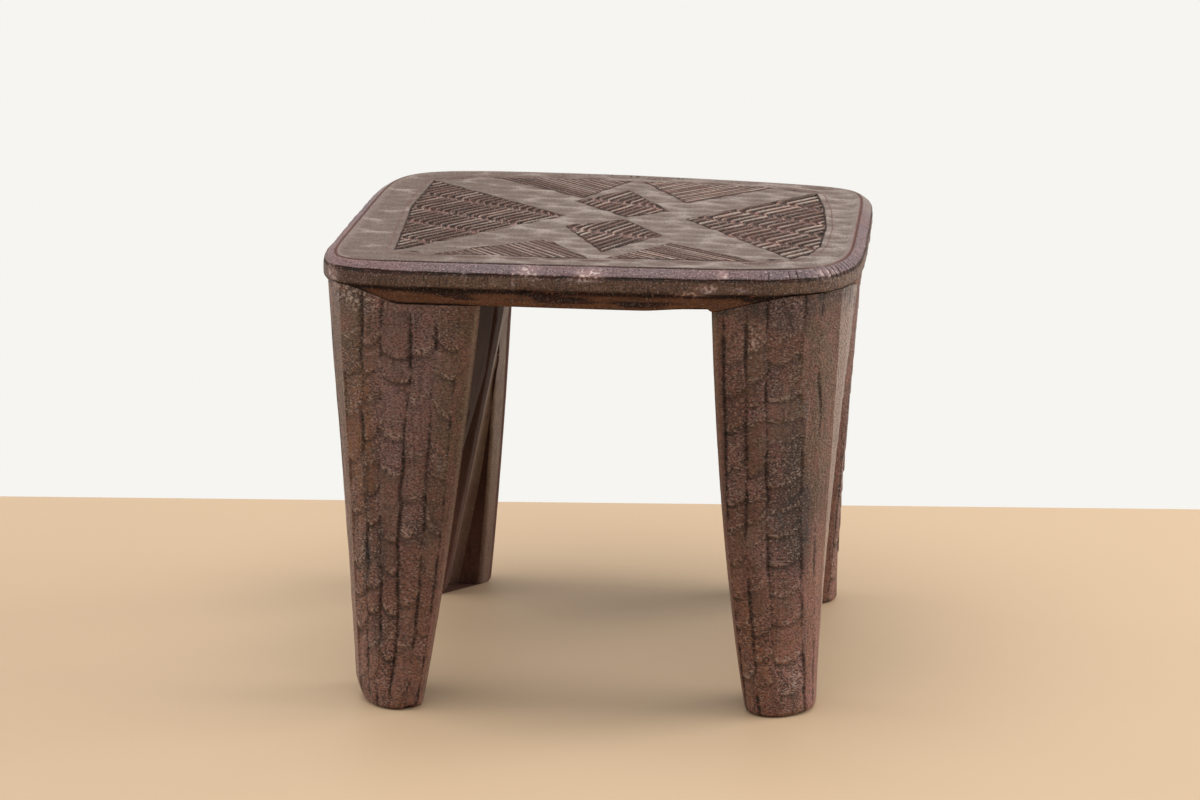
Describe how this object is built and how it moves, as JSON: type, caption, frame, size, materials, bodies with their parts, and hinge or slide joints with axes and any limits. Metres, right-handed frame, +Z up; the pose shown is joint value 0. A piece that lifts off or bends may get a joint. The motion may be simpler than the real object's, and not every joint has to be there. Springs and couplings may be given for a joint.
{
  "type": "carved wooden stool",
  "caption": "Low stool hewn from one block: a rounded rectangular seat carved with crossing bands and hatched panels, on tapering adzed legs hollowed at their inner corners.",
  "frame": {"origin": "on the floor under the middle of the seat", "axes": "+X to the right as seen from the front, +Y to the rear, +Z up; the front faces -Y"},
  "size_m": [0.305, 0.273, 0.264],
  "materials": {
    "seat_wood": "dark dyed hardwood, hand-carved and polished grey-brown by use",
    "leg_wood": "dark red-brown dyed hardwood with adze facets and dusty pores"
  },
  "bodies": {
    "root": {"seat_slab": "seat_wood", "leg_front_left": "leg_wood", "leg_front_right": "leg_wood", "leg_rear_left": "leg_wood", "leg_rear_right": "leg_wood"}
  },
  "joints": []
}
